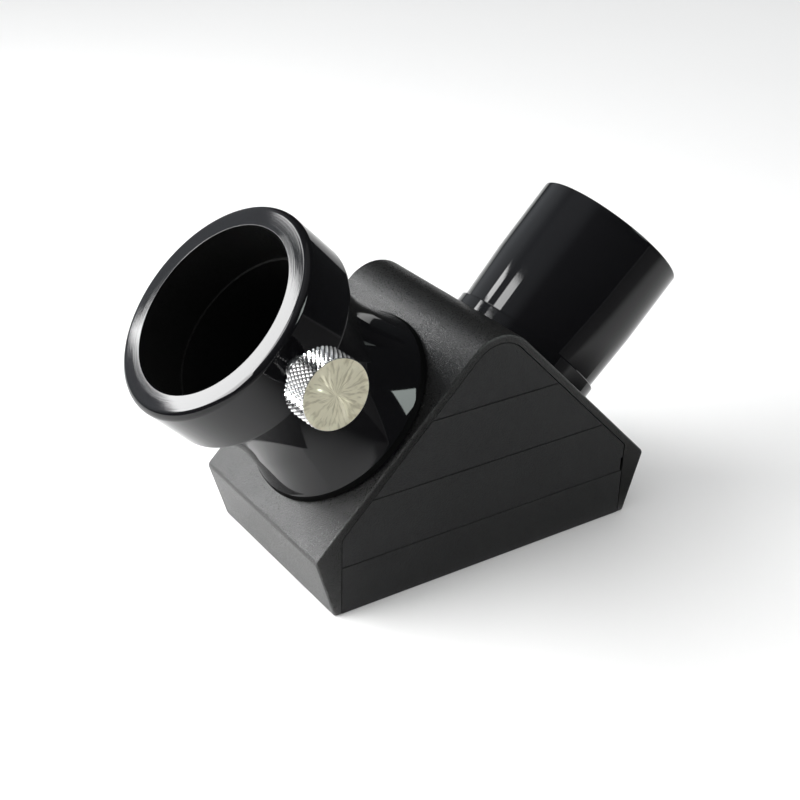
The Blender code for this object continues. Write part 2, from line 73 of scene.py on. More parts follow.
OPTICAL_CENTRE = Vector((0, 0, MIRROR_HIGH.z))
EYEPIECE_AXIS = Vector(MOUNTS["eyepiece_seat"]["axis"]).normalized()
NOSE_AXIS = Vector(MOUNTS["nose_filter_seat"]["axis"]).normalized()
HOLDER_FACE_REACH = (Vector(MOUNTS["eyepiece_seat"]["pos_m"]) - OPTICAL_CENTRE).dot(EYEPIECE_AXIS)
NOSE_END_REACH = (Vector(MOUNTS["nose_filter_seat"]["pos_m"]) - OPTICAL_CENTRE).dot(NOSE_AXIS)
SCREW_AXIS = Vector(JOINTS["thumb_screw_turn"]["axis"]).normalized()
SCREW_BASE = Vector(JOINTS["thumb_screw_turn"]["pos_m"])

# Housing outline.
HALF_WIDTH = HOUSING_HIGH.y
BASE_HALF_LENGTH = 0.0345
KNEE_HALF_LENGTH = 0.0386
KNEE_HEIGHT = 0.0123
APEX_HEIGHT = KNEE_HALF_LENGTH + KNEE_HEIGHT
RIDGE_RADIUS = 0.0084
KNEE_RADIUS = 0.0012
UNDERCUT_ANGLE = math.radians(18)
RIM_BEVEL = 0.0004
FOOT_RADIUS = 0.0006
CAVITY_HALF_LENGTH = 0.0319
FACE_REACH = (APEX_HEIGHT - MIRROR_HIGH.z) / math.sqrt(2)
SEAT_REACH = FACE_REACH + SEAM

# Side panels and base cover.
PANEL_INSET = 0.00156
PANEL_HALF_LENGTH = 0.0329
PANEL_THICKNESS = 0.0017
GROOVE_HEIGHTS = (0.0343, 0.0220)
GROOVE_WIDTH = 0.00020
GROOVE_DEPTH = 0.0003
GROOVE_LIP = 0.00006
SKIRT_HEIGHT = 0.0099
NOTCH_WIDTH = 0.0006
NOTCH_HEIGHT = 0.0030
TAB_SIZE = Vector((0.0050, 0.0040, 0.0012))
TAB_OFFSET = 0.0160
COVER_THICKNESS = 0.0022

# Fasteners. A thread is its pitch and depth.
BOSS_X = 0.0284
BOSS_Y = 0.0125
BOSSES = ((-BOSS_X, -BOSS_Y, 0), (BOSS_X, -BOSS_Y, 0), (BOSS_X, BOSS_Y, 0), (-BOSS_X, BOSS_Y, 0))
BOSS_RADIUS = 0.0030
BOSS_TOP = 0.0105
WEB_WIDTH = 0.0036
BASE_SCREW_RADIUS = 0.0015
BASE_SCREW_HEAD_RADIUS = 0.0027
BASE_SCREW_LENGTH = 0.0088
BASE_SCREW_SINK = 0.00024
BASE_SCREW_THREAD = (0.0005, 0.00028)
CLIP_SCREW_X = 0.0227
CLIP_SCREW_RADIUS = 0.0010
CLIP_SCREW_HEAD_RADIUS = 0.0018
CLIP_SCREW_HEAD_HEIGHT = 0.0012
CLIP_SCREW_THREAD = (0.0004, 0.0002)

# A driver's cross: half length of an arm, width of an arm, depth. The arms narrow outwards, and the cross is
# longer at its mouth and shorter at its bottom by these shares.
BASE_SCREW_CROSS = (0.0015, 0.0006, 0.0010)
CLIP_SCREW_CROSS = (0.0011, 0.00045, 0.0006)
CROSS_NARROWING = 0.8
CROSS_MOUTH = 1.1
CROSS_BOTTOM = 0.45
CROSS_OVERSHOOT = 0.2

# Mirror group.
CLIP_HALF_WIDTH = 0.0040
CLIP_THICKNESS = 0.0004
CLIP_OVERLAP = 0.0010
CLIP_BEND_OFFSET = 0.0002
CLIP_BEND_LENGTH = 0.0004
CLIP_FOOT = CELL_HIGH.z + SEAM

# Tubes.
BARREL_RADIUS = 0.015875
FILTER_THREAD_RADIUS = 0.01425
FILTER_THREAD_DEPTH = 0.0045
FILTER_THREAD = (0.0006, 0.0003)
SPIGOT_REACH = 0.0218
LIGHT_PATH_RADIUS = 0.0134
HOLDER_SPIGOT_RADIUS = 0.0163
NOSE_SPIGOT_RADIUS = 0.0148
SPIGOT_THREAD = (0.00075, 0.0003)
LOCK_RING_HEIGHT = 0.0039
LOCK_RING_WIDTH = 0.0018
LOCK_RING_SLOT_WIDTH = 0.0016
LOCK_RING_SLOT_DEPTH = 0.0012
HOLDER_MOUTH_RADIUS = 0.0164
HOLDER_BORE_RADIUS = 0.01595
HOLDER_STEP_REACH = 0.0547
HOLDER_STOP_REACH = 0.0360
COLLAR_RADIUS = 0.0207
COLLAR_BACK_REACH = 0.05387
COLLAR_EDGE_RADIUS = 0.0012
WAIST_RADIUS = 0.0165
FLARE_RIM_RADIUS = 0.0193
FLARE_RIM_REACH = 0.03105
FLANGE_RADIUS = 0.0197
FLARE_POWER = 3.5
FLARE_STEPS = 40
COVE_RISE = 0.0029
COVE_SHARE = 0.6
NOSE_SHOULDER_RADIUS = 0.01605
NOSE_SHOULDER_REACH = 0.03275
NOSE_WAIST_RADIUS = 0.01542
NOSE_TAPER_REACH = 0.0446

# Thumb screw, measured along its axis from the collar's surface.
STUD_RADIUS = 0.0025
STUD_THREAD = (0.0008, 0.00045)
HEAD_RADIUS = 0.00626
HEAD_BACK = 0.00505
HEAD_FRONT = 0.01060
HEAD_RIM = 0.00014
KNURL_COUNT = 46
KNURL_DEPTH = 0.00030
KNURL_ANGLE = math.radians(33)
KNURL_STEPS = 6
BURST_RINGS = 14
BURST_DEPTH = 0.00034
BURST_FOLDS = 2.3
TIP_FRONT = -0.0042
TIP_LENGTH = 0.0011
TIP_RADIUS = 0.0019
TIP_PEG_RADIUS = 0.0011
TIP_PEG_LENGTH = 0.0018

# Index of refraction that the anodised finishes mirror with.
ANODISED_IOR = 1.40

# Fineness of round pieces.
TUBE_SEGMENTS = 160
SMALL_SEGMENTS = 48
THREAD_STEPS = 8

# Camera.
CAMERA_PLACE = Vector((-0.143613, -0.197685, 0.153270))
CAMERA_AZIMUTH = math.radians(-34.6077)
CAMERA_ELEVATION = math.radians(27.6624)
CAMERA_ROLL = math.radians(1.5534)
CAMERA_LENS_MM = 64.0

# Stage. The painted shade sheet's fades are places along X and Y where it starts and where it is full: across
# X it paints the object's shadow on the floor in front of the housing, and along Y it darkens the floor
# further out.
FLOOR_RADIUS = 3.0
SHADE_SHEET_REACH = 2.0
SHADE_SHEET_GAP = 0.0008
PAINTED_SHADOW_LEFT_FADE = (-0.054, -0.014)
PAINTED_SHADOW_RIGHT_FADE = (0.080, 0.055)
FAR_DARKENING_FADE = (-0.09, -0.17)
PAINTED_SHADOW_DEPTH = 0.95
FAR_DARKENING_DEPTH = 0.75

# The studio as the object sees it: a dim room with soft-edged bright walls, each with its azimuth, elevation,
# half angle of the core, half angle where it ends, and radiance. The camera sees a pale surround.
SURROUND = 1.0
STUDIO_DIM = 0.035
STUDIO_COLOUR = (0.90, 0.95, 1.0)
STUDIO_GLOWS = (
    (-116, 50, 4, 34, 0.35),
    (-165, 14, 12, 34, 0.55),
)

# Softboxes: name, azimuth, elevation, roll, distance, width, height, radiance, colour, and the surfaces that
# they light. The gloss sees the key as three boxes, which together leave the outline of one tilted window.
WHITE, MINT = (1, 1, 1), (0.90, 1.0, 0.96)
SOFTBOXES = (
    ("key", -115, 28.8, -0.6, 0.300, 0.338, 0.066, 15.5, WHITE, "gloss"),
    ("key_corner_right", -121.3, 40.5, 19.4, 0.852, 0.214, 0.212, 12.0, WHITE, "gloss"),
    ("key_corner_left", -151.8, 32.6, -58.9, 1.037, 0.058, 0.185, 12.0, WHITE, "gloss"),
    ("key_spill", -116, 31, 0, 0.36, 0.34, 0.20, 9.5, WHITE, "diffuse"),
    ("window", 32.2, 27.8, -11.4, 0.300, 0.118, 0.103, 8.0, MINT, "gloss"),
    ("overhead", 0, 88, 0, 1.7, 1.7, 1.7, 0.25, WHITE, "all"),
    ("dome", 0, 90, 0, 1.6, 7.0, 7.0, 0.80, WHITE, "diffuse"),
)
LIGHT_TARGET = Vector((0, 0, 0.035))


# ---------------------------------------------------------------- meshes

def add_object(name, data, matrix=None):
    made = bpy.data.objects.new(name, data)
    bpy.context.scene.collection.objects.link(made)
    if matrix:
        made.matrix_world = matrix
    return made


def add_mesh(name, bm, materials=(), matrix=None):
    """Puts a bmesh into the scene as an object, and uses it up."""
    mesh = bpy.data.meshes.new(name)
    bm.to_mesh(mesh)
    bm.free()
    for material in materials:
        mesh.materials.append(material)
    return add_object(name, mesh, matrix)


def finish_piece(name, bm, materials, node, body="diagonal", matrix=None, choose=None, sharp=30):
    """Turns a bmesh into a piece that rides on a body and stands for a CAD node.

    A matrix gives the piece its own axes, so that its finish follows its turning. `choose` picks the
    material of each face. Edges sharper than `sharp` degrees stay sharp.
    """
    bmesh.ops.recalc_face_normals(bm, faces=bm.faces)
    piece = add_mesh(name, bm, materials, matrix)
    piece.data.shade_smooth()
    piece.data.set_sharp_from_angle(angle=math.radians(sharp))
    if choose:
        for face in piece.data.polygons:
            face.material_index = choose(face)
    # Large faces set the shading normals, so that a flat face beside a rounded edge still mirrors flat.
    piece.modifiers.new("flats", "WEIGHTED_NORMAL").keep_sharp = True
    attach(piece, body)
    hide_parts(node)
    return piece


def axis_matrix(origin, axis):
    """Own Z along an axis, own origin at a point."""
    return Matrix.Translation(origin) @ axis.to_track_quat("Z", "Y").to_matrix().to_4x4()


def arc(centre, radius, start, end, steps):
    angles = [start + (end - start) * i / steps for i in range(steps + 1)]
    return [(centre[0] + radius * math.cos(a), centre[1] + radius * math.sin(a)) for a in angles]


def rounded(points, radii, steps=4):
    """A closed outline with each corner turned into an arc of its own radius. A zero keeps it sharp."""
    outline = []
    count = len(points)
    for i, radius in enumerate(radii):
        here = Vector(points[i])
        if not radius:
            outline.append(tuple(here))
            continue
        before = (Vector(points[i - 1]) - here).normalized()
        after = (Vector(points[(i + 1) % count]) - here).normalized()
        half = before.angle(after) / 2
        centre = here + (before + after).normalized() * radius / math.sin(half)
        start = here + before * radius / math.tan(half) - centre
        turn = (math.pi - 2 * half) / steps
        if before.cross(after) > 0:
            turn = -turn
        for k in range(steps + 1):
            outline.append(tuple(centre + Matrix.Rotation(turn * k, 2) @ start))
    return outline


def moved(bm, matrix):
    """Moves a bmesh and returns it."""
    bmesh.ops.transform(bm, matrix=matrix, verts=bm.verts)
    return bm


def shifted(bm, place):
    return moved(bm, Matrix.Translation(place))


def swept(profile_at, segments):
    """Turns a closed profile about Z. profile_at(angle) gives (radius, height) points; radius 0 is a pole."""
    bm = bmesh.new()
    columns = []
    poles = {}
    for i in range(segments):
        angle = 2 * math.pi * i / segments
        column = []
        for k, (radius, height) in enumerate(profile_at(angle)):
            if radius == 0:
                if k not in poles:
                    poles[k] = bm.verts.new((0, 0, height))
                column.append(poles[k])
            else:
                column.append(bm.verts.new((radius * math.cos(angle), radius * math.sin(angle), height)))
        columns.append(column)
    for column, following in zip(columns, columns[1:] + columns[:1]):
        count = len(column)
        for k in range(count):
            m = (k + 1) % count
            corners = list(dict.fromkeys([column[k], following[k], following[m], column[m]]))
            if len(corners) > 2:
                bm.faces.new(corners)
    return bm


def turned(profile, segments=SMALL_SEGMENTS):
    """Like swept, with the same profile all round."""
    return swept(lambda angle: profile, segments)


def cylinder(radius, low, high, place=(0, 0, 0), segments=SMALL_SEGMENTS):
    return shifted(turned([(0, low), (radius, low), (radius, high), (0, high)], segments), place)


def thread_profile(angle, low, high, radius, thread, outward=True):
    """Points up a right-hand thread's flank at one angle, its crest at `radius`, fading out at both ends."""
    pitch, depth = thread
    points = []
    count = max(2, round((high - low) / pitch * THREAD_STEPS))
    for k in range(count + 1):
        height = low + (high - low) * k / count
        phase = ((height - low) / pitch - angle / (2 * math.pi)) % 1.0
        # A triangle wave with its crests and roots cut flat.
        cut = min(1.0, max(0.0, 1.25 * (1 - abs(2 * phase - 1)) - 0.125))
        run_out = min(1.0, (height - low) / pitch, (high - height) / pitch)
        root = depth * (1 - cut) * max(0.0, run_out)
        points.append((radius - root if outward else radius + root, height))
    return points


def bridged(bm, loops):
    """Joins two loops of points with a wall and closes both ends. Returns the two end faces."""
    count = len(loops[0])
    for i in range(count):
        j = (i + 1) % count
        bm.faces.new((loops[0][i], loops[0][j], loops[1][j], loops[1][i]))
    return [bm.faces.new(loop) for loop in loops]


def prism(outline, low, high, along="Y", edge=0.0, edges_at=(True, True), edge_steps=2):
    """Extrudes a closed outline along X or Y, with a rounded edge of its own at each end."""
    bm = bmesh.new()
    loops = []
    for end in (low, high):
        loop = []
        for first, second in outline:
            loop.append(bm.verts.new((end, first, second) if along == "X" else (first, end, second)))
        loops.append(loop)
    caps = bridged(bm, loops)
    bmesh.ops.recalc_face_normals(bm, faces=bm.faces)
    if edge:
        rims = [e for cap, wanted in zip(caps, edges_at) if wanted for e in cap.edges]
        bmesh.ops.bevel(bm, geom=rims, offset=edge, segments=edge_steps, profile=0.5, affect="EDGES")
    return bm


def rounded_box(low, high, edge=0.0, segments=2):
    bm = bmesh.new()
    bmesh.ops.create_cube(bm, size=1)
    low, high = Vector(low), Vector(high)
    moved(bm, Matrix.Translation((low + high) / 2) @ Matrix.Diagonal((*(high - low), 1)))
    if edge:
        bmesh.ops.bevel(bm, geom=bm.edges[:], offset=edge, segments=segments, profile=0.5, affect="EDGES")
    return bm


def cut(target, bm, operation="DIFFERENCE"):
    """Applies a Boolean to a bmesh and returns the result as a new bmesh. Both inputs are used up."""
    for made in (target, bm):
        bmesh.ops.recalc_face_normals(made, faces=made.faces)
    base, tool = add_mesh("base", target), add_mesh("tool", bm)
    modifier = base.modifiers.new("cut", "BOOLEAN")
    modifier.operation = operation
    modifier.solver = "EXACT"
    modifier.object = tool
    bpy.context.view_layer.update()
    evaluated = base.evaluated_get(bpy.context.evaluated_depsgraph_get())
    result = bmesh.new()
    result.from_mesh(evaluated.to_mesh())
    evaluated.to_mesh_clear()
    for piece in (base, tool):
        mesh = piece.data
        bpy.data.objects.remove(piece)
        bpy.data.meshes.remove(mesh)
    return result


def ridge_arc(apex, radius, steps):
    centre = (0, apex - radius * math.sqrt(2))
    return arc(centre, radius, QUARTER / 2, 3 * QUARTER / 2, steps)


def wedge(inset, half_length, floor, steps=24):
    """The housing's outline moved inwards by inset, with upright ends and a flat floor."""
    apex = APEX_HEIGHT - inset * math.sqrt(2)
    shoulder = apex - half_length
    ridge = ridge_arc(apex, RIDGE_RADIUS - inset, steps)
    left, right = -half_length, half_length
    return [(right, floor), (right, shoulder), *ridge, (left, shoulder), (left, floor)]


def housing_outline():
    foot_centre = (BASE_HALF_LENGTH - FOOT_RADIUS, FOOT_RADIUS)
    foot = arc(foot_centre, FOOT_RADIUS, -QUARTER, -UNDERCUT_ANGLE, 3)
    knee_centre = (KNEE_HALF_LENGTH - KNEE_RADIUS * math.sqrt(2), KNEE_HEIGHT)
    knee = arc(knee_centre, KNEE_RADIUS, -UNDERCUT_ANGLE, QUARTER / 2, 10)
    right = foot + knee
    left = [(-x, z) for x, z in reversed(right)]
    return [*right, *ridge_arc(APEX_HEIGHT, RIDGE_RADIUS, 36), *left]


# ---------------------------------------------------------------- materials

class Nodes:
    """A short way to wire a node tree."""

    def __init__(self, owner):
        owner.use_nodes = True
        self.owner = owner
        self.tree = owner.node_tree

    def add(self, kind, inputs=(), **settings):
        node = self.tree.nodes.new(kind)
        for key, value in settings.items():
            setattr(node, key, value)
        for key, value in dict(inputs).items():
            self.put(node, key, value)
        return node

    def put(self, node, key, value):
        """Links an output to a socket, or sets a plain value on the socket itself."""
        if isinstance(value, bpy.types.NodeSocket):
            self.tree.links.new(value, node.inputs[key])
        else:
            node.inputs[key].default_value = value

    def coordinates(self, kind="Object"):
        return self.add("ShaderNodeTexCoord").outputs[kind]

    def split(self, vector):
        outputs = self.add("ShaderNodeSeparateXYZ", {"Vector": vector}).outputs
        return outputs["X"], outputs["Y"], outputs["Z"]

    def join(self, **parts):
        return self.add("ShaderNodeCombineXYZ", parts).outputs["Vector"]

    def noise(self, scale, detail=3.0, roughness=0.5, vector=None):
        vector = vector or self.coordinates()
        inputs = {"Vector": vector, "Scale": scale, "Detail": detail, "Roughness": roughness}
        return self.add("ShaderNodeTexNoise", inputs).outputs["Fac"]

    def remap(self, value, low, high, start=0.0, end=1.0):
        inputs = {"Value": value, "From Min": start, "From Max": end, "To Min": low, "To Max": high}
        return self.add("ShaderNodeMapRange", inputs).outputs["Result"]

    def soft_step(self, value, start, end, top=1.0):
        """Eases from 0 at start to top at end."""
        inputs = {"Value": value, "From Min": start, "From Max": end, "To Max": top}
        return self.add("ShaderNodeMapRange", inputs, interpolation_type="SMOOTHSTEP").outputs["Result"]

    def math(self, operation, first, second=0.0):
        return self.add("ShaderNodeMath", {0: first, 1: second}, operation=operation).outputs[0]

    def vector_math(self, operation, inputs, output="Vector"):
        return self.add("ShaderNodeVectorMath", inputs, operation=operation).outputs[output]

    def length(self, x, y):
        squares = [self.math("MULTIPLY", part, part) for part in (x, y)]
        return self.math("SQRT", self.math("ADD", *squares))

    def between(self, factor, dark, light):
        """Mixes two colours by a factor."""
        ramp = self.add("ShaderNodeValToRGB", {"Fac": factor})
        ramp.color_ramp.elements[0].color = (*dark, 1)
        ramp.color_ramp.elements[1].color = (*light, 1)
        return ramp.outputs["Color"]

    def bump(self, height, distance, **under):
        """A bumped normal, on top of another one where `Normal` is given."""
        inputs = {"Height": height, "Distance": distance, "Strength": 1.0, **under}
        return self.add("ShaderNodeBump", inputs).outputs["Normal"]


class Material(Nodes):
    """A material with one Principled BSDF. Its sockets go by name, with underscores for spaces."""

    def __init__(self, name, **values):
        super().__init__(bpy.data.materials.new(name))
        self.shader = self.tree.nodes["Principled BSDF"]
        self.set(**values)

    def set(self, **values):
        for key, value in values.items():
            self.put(self.shader, key.replace("_", " "), value)


def grained_plastic(name, dark, light, rough, grain_size, grain_depth, shine=0.5):
    """Moulded black plastic: spark-eroded grain, a little mottling and a few handling marks."""
    m = Material(name, Specular_IOR_Level=shine)
    place = m.coordinates()
    grain = m.noise(1 / grain_size, 2.0, 0.6, place)
    mottle = m.noise(90.0, 4.0, 0.6, place)
    handling = m.noise(34.0, 5.0, 0.65, place)
    speckle = m.remap(grain, 0.0, 1.0, 0.34, 0.66)
    shade = m.math("ADD", m.math("MULTIPLY", speckle, 0.7), m.math("MULTIPLY", mottle, 0.3))
    # Handling marks vary the roughness.
    wear_and_shade = m.remap(handling, rough - 0.04, rough + 0.04, 0.3, 0.7)
    m.set(Base_Color=m.between(shade, dark, light),
          Roughness=m.math("ADD", wear_and_shade, m.remap(grain, -0.08, 0.08, 0.35, 0.65)),
          Normal=m.bump(grain, grain_depth))
    return m.owner


def gloss_black():
    """Polished black anodised aluminium: near-black, with a mirror-like surface and faint turning marks."""
    m = Material("gloss_black_anodised", IOR=ANODISED_IOR)
    place = m.coordinates()
    _, _, height = m.split(place)
    lathe = m.noise(9000.0, 2.0, 0.5, m.join(Z=height))
    ripple = m.noise(120.0, 1.0, 0.5, place)
    smudge = m.noise(60.0, 4.0, 0.6, place)
    m.set(Base_Color=m.between(smudge, (0.0035, 0.0035, 0.0042), (0.0065, 0.0065, 0.0072)),
          Roughness=m.remap(smudge, 0.03, 0.065, 0.35, 0.75),
          Normal=m.bump(lathe, 0.0000012, Normal=m.bump(ripple, 0.000004)))
    return m.owner


def turned_face():
    """The same finish on a faced end, with concentric tool marks."""
    m = Material("gloss_black_faced", IOR=ANODISED_IOR)
    place = m.coordinates()
    x, y, _ = m.split(place)
    marks = m.noise(5200.0, 3.0, 0.65, m.join(X=m.length(x, y)))
    smudge = m.noise(60.0, 4.0, 0.6, place)
    m.set(Base_Color=m.between(smudge, (0.004, 0.004, 0.005), (0.008, 0.008, 0.009)),
          Roughness=m.remap(marks, 0.02, 0.05, 0.3, 0.7),
          Normal=m.bump(marks, 0.0000034))
    return m.owner


def bright_metal(name, colour, rough):
    """Polished plate with fine scratches."""
    m = Material(name, Metallic=1.0)
    place = m.coordinates()
    scratches = m.noise(1400.0, 3.0, 0.6, place)
    tarnish = m.noise(260.0, 4.0, 0.6, place)
    m.set(Base_Color=m.between(tarnish, tuple(0.9 * c for c in colour), colour),
          Roughness=m.remap(scratches, rough * 0.6, rough * 1.5, 0.3, 0.7),
          Normal=m.bump(scratches, 0.000003))
    return m.owner


def burst_metal():
    """The thumb screw's end face: warm nickel with fine, bent rays that run out from its centre."""
    m = Material("nickel_burst_face", Metallic=0.5)
    place = m.coordinates()
    bend = m.add("ShaderNodeTexNoise", {"Vector": place, "Scale": 260.0, "Detail": 2.0}).outputs["Color"]
    sway = m.vector_math("ADD", {0: bend, 1: (-0.5, -0.5, 0)})
    sway = m.vector_math("SCALE", {0: sway, "Scale": HEAD_RADIUS * 0.16})
    x, y, _ = m.split(m.vector_math("ADD", {0: place, 1: sway}))
    radius = m.length(x, y)
    safe = m.math("MAXIMUM", radius, 0.0001)
    unit_x, unit_y = m.math("DIVIDE", x, safe), m.math("DIVIDE", y, safe)
    ring = m.join(X=unit_x, Y=unit_y, Z=m.math("MULTIPLY", radius, 60.0))
    rays = m.noise(6.5, 2.0, 0.45, ring)
    fine = m.noise(8.0, 2.0, 0.5, ring)
    height = m.math("ADD", rays, m.math("MULTIPLY", fine, 0.08))
    fade = m.remap(radius, 0.2, 1.0, 0.0, HEAD_RADIUS * 0.6)
    streaks = m.remap(fine, 0.0, 1.0, 0.36, 0.52)
    m.set(Base_Color=m.between(streaks, (0.70, 0.655, 0.47), (0.95, 0.905, 0.70)),
          Roughness=m.remap(fine, 0.30, 0.40, 0.3, 0.7),
          Normal=m.bump(m.math("MULTIPLY", height, fade), 0.00007))
    return m.owner


def knurl_metal():
    """Bright plate on the knurl's points, with painted shade darkening its grooves."""
    m = Material("bright_knurl_points", Metallic=1.0)
    place = m.coordinates()
    x, y, _ = m.split(place)
    # Painted shade: the colour darkens from the points down to the groove floors, by radius.
    wear_and_shade = m.remap(m.length(x, y), 0.0, 1.0, HEAD_RADIUS - KNURL_DEPTH, HEAD_RADIUS - 0.62 * KNURL_DEPTH)
    m.set(Base_Color=m.between(wear_and_shade, (0.08, 0.077, 0.073), (0.92, 0.92, 0.92)),
          Roughness=m.remap(m.noise(1400.0, 3.0, 0.6, place), 0.10, 0.22, 0.3, 0.7))
    return m.owner


def mirror_coat():
    """Front-silvered glass with a trace of dust."""
    m = Material("silvered_front", Metallic=1.0)
    dust = m.noise(2500.0, 5.0, 0.7)
    m.set(Base_Color=m.between(dust, (0.88, 0.89, 0.90), (0.93, 0.94, 0.95)),
          Roughness=m.remap(dust, 0.01, 0.05, 0.55, 0.8))
    return m.owner


def ground_glass():
    """The mirror's ground back and sides."""
    m = Material("ground_glass")
    grit = m.noise(3500.0, 3.0, 0.6)
    m.set(Base_Color=m.between(grit, (0.30, 0.36, 0.34), (0.42, 0.48, 0.46)),
          Roughness=m.remap(grit, 0.45, 0.65),
          Normal=m.bump(grit, 0.00002))
    return m.owner


def foam():
    """Closed-cell foam: small skinned-over cells."""
    m = Material("black_foam")
    cells = m.add("ShaderNodeTexVoronoi", {"Vector": m.coordinates(), "Scale": 3200.0}).outputs["Distance"]
    m.set(Base_Color=m.between(cells, (0.020, 0.020, 0.021), (0.055, 0.055, 0.056)),
          Roughness=m.remap(cells, 0.80, 0.95),
          Normal=m.bump(cells, 0.0002))
    return m.owner


def nylon():
    """Natural nylon, slightly cloudy."""
    m = Material("natural_nylon", Subsurface_Weight=0.2, Subsurface_Radius=(0.001, 0.001, 0.0008))
    cloud = m.noise(800.0, 4.0, 0.6)
    m.set(Base_Color=m.between(cloud, (0.70, 0.69, 0.64), (0.82, 0.81, 0.77)),
          Roughness=m.remap(cloud, 0.35, 0.5),
          Normal=m.bump(cloud, 0.00001))
    return m.owner


def pale_floor():
    m = Material("pale_floor")
    cloud = m.noise(6.0, 2.0, 0.5)
    m.set(Base_Color=m.between(cloud, (0.92, 0.92, 0.915), (0.94, 0.94, 0.935)),
          Roughness=m.remap(cloud, 0.85, 0.95))
    return m.owner


def painted_shade_sheet():
    """Near-black, with faded edges: a painted shadow of the object on the floor, darkest in front of the
    housing, and a thinner darkening further out.
    """
    m = Material("painted_shade", Specular_IOR_Level=0.0)
    x, y, _ = m.split(m.coordinates())
    across = m.math("MULTIPLY", m.soft_step(x, *PAINTED_SHADOW_LEFT_FADE), m.soft_step(x, *PAINTED_SHADOW_RIGHT_FADE))
    # Painted shadow of the object on the floor, between the fades across X.
    near = m.math("MULTIPLY", across, PAINTED_SHADOW_DEPTH)
    # Further out along Y, a thinner darkening of the floor.
    far = m.math("MULTIPLY", m.soft_step(y, *FAR_DARKENING_FADE), FAR_DARKENING_DEPTH)
    m.set(Base_Color=m.between(m.noise(400.0), (0.002, 0.002, 0.002), (0.004, 0.004, 0.004)),
          Alpha=m.math("MAXIMUM", near, far))
    return m.owner


# ---------------------------------------------------------------- pieces

def build_housing(finish):
    """One moulded body: cavity, panel recesses, two tube openings and four bosses for the cover's screws."""
    bm = prism(housing_outline(), -HALF_WIDTH, HALF_WIDTH, edge=RIM_BEVEL, edge_steps=4)

    inside = HALF_WIDTH - PANEL_THICKNESS - SEAM
    beyond = HALF_WIDTH + WALL
    bm = cut(bm, prism(wedge(WALL, CAVITY_HALF_LENGTH, -WALL), -inside - SEAM, inside + SEAM))
    recess_half_length = PANEL_HALF_LENGTH + PANEL_SEAM / 2
    recess = wedge(PANEL_INSET - PANEL_SEAM / 2, recess_half_length, -WALL)
    for side in (-1, 1):
        bm = cut(bm, prism(recess, *sorted((side * inside, side * beyond))))
    floor_top = COVER_THICKNESS + SEAM
    bm = cut(bm, rounded_box((-recess_half_length, -beyond, -WALL), (recess_half_length, beyond, floor_top)))

    for axis, radius in ((EYEPIECE_AXIS, HOLDER_SPIGOT_RADIUS), (NOSE_AXIS, NOSE_SPIGOT_RADIUS)):
        low, high = FACE_REACH - 2 * WALL, FACE_REACH + WALL
        opening = cylinder(radius + FINE_EDGE, low, high, segments=TUBE_SEGMENTS)
        bm = cut(bm, moved(opening, axis_matrix(OPTICAL_CENTRE, axis)))

    for place in BOSSES:
        x, y, _ = place
        bm = cut(bm, cylinder(BOSS_RADIUS, floor_top, BOSS_TOP, place), "UNION")
        near, far = sorted((x, math.copysign(CAVITY_HALF_LENGTH + SEAM, x)))
        web = rounded_box((near, y - WEB_WIDTH / 2, floor_top + SEAM),
                          (far, y + WEB_WIDTH / 2, BOSS_TOP - SEAM))
        bm = cut(bm, web, "UNION")
        bm = cut(bm, cylinder(BASE_SCREW_RADIUS + SEAM / 2, 0, BASE_SCREW_LENGTH + 2 * SEAM, place))
    finish_piece("housing_shell", bm, [finish], "housing", sharp=28)


def panel_tab(side_x, side_y, offset):
    """A snap tab that reaches in under a sloping wall of the housing."""
    tab = rounded_box(-TAB_SIZE / 2, TAB_SIZE / 2, FINE_EDGE)
    reach = FACE_REACH - WALL - SEAM - TAB_SIZE.z / 2
    axis, along = (NOSE_AXIS, EYEPIECE_AXIS) if side_x > 0 else (EYEPIECE_AXIS, NOSE_AXIS)
    place = OPTICAL_CENTRE + axis * reach + along * offset
    place.y = side_y * (HALF_WIDTH - PANEL_THICKNESS - TAB_SIZE.y / 2 + SEAM)
    return moved(tab, Matrix.Translation(place) @ Matrix.Rotation(side_x * QUARTER / 2, 4, "Y"))


def build_side_panel(node, side_y, finish):
    """A flat panel with two V-edged grooves across it, a softened rim and four snap tabs."""
    outline = wedge(PANEL_INSET + PANEL_SEAM / 2, PANEL_HALF_LENGTH - PANEL_SEAM / 2,
                    SKIRT_HEIGHT + PANEL_SEAM / 2)
    inner_face = HALF_WIDTH - PANEL_THICKNESS
    low, high = sorted((side_y * inner_face, side_y * HALF_WIDTH))
    bm = prism(outline, low, high, edge=PANEL_EDGE, edges_at=(side_y < 0, side_y > 0), edge_steps=3)
    half, lip = GROOVE_WIDTH / 2, GROOVE_LIP
    floor = side_y * (HALF_WIDTH - GROOVE_DEPTH)
    shoulder, outer = side_y * (HALF_WIDTH - lip), side_y * (HALF_WIDTH + lip)
    for height in GROOVE_HEIGHTS:
        groove = [(floor, height - half), (shoulder, height - half), (outer, height - half - 2 * lip),
                  (outer, height + half + 2 * lip), (shoulder, height + half), (floor, height + half)]
        bm = cut(bm, prism(groove, -KNEE_HALF_LENGTH, KNEE_HALF_LENGTH, along="X"))
    beyond = HALF_WIDTH + WALL
    bm = cut(bm, rounded_box((PANEL_HALF_LENGTH - NOTCH_WIDTH, -beyond, 0),
                             (KNEE_HALF_LENGTH, beyond, SKIRT_HEIGHT + NOTCH_HEIGHT)))
    for side_x in (-1, 1):
        for offset in (-TAB_OFFSET, TAB_OFFSET):
            bm = cut(bm, panel_tab(side_x, side_y, offset), "UNION")
    finish_piece(f"{node}_moulding", bm, [finish], node, sharp=25)


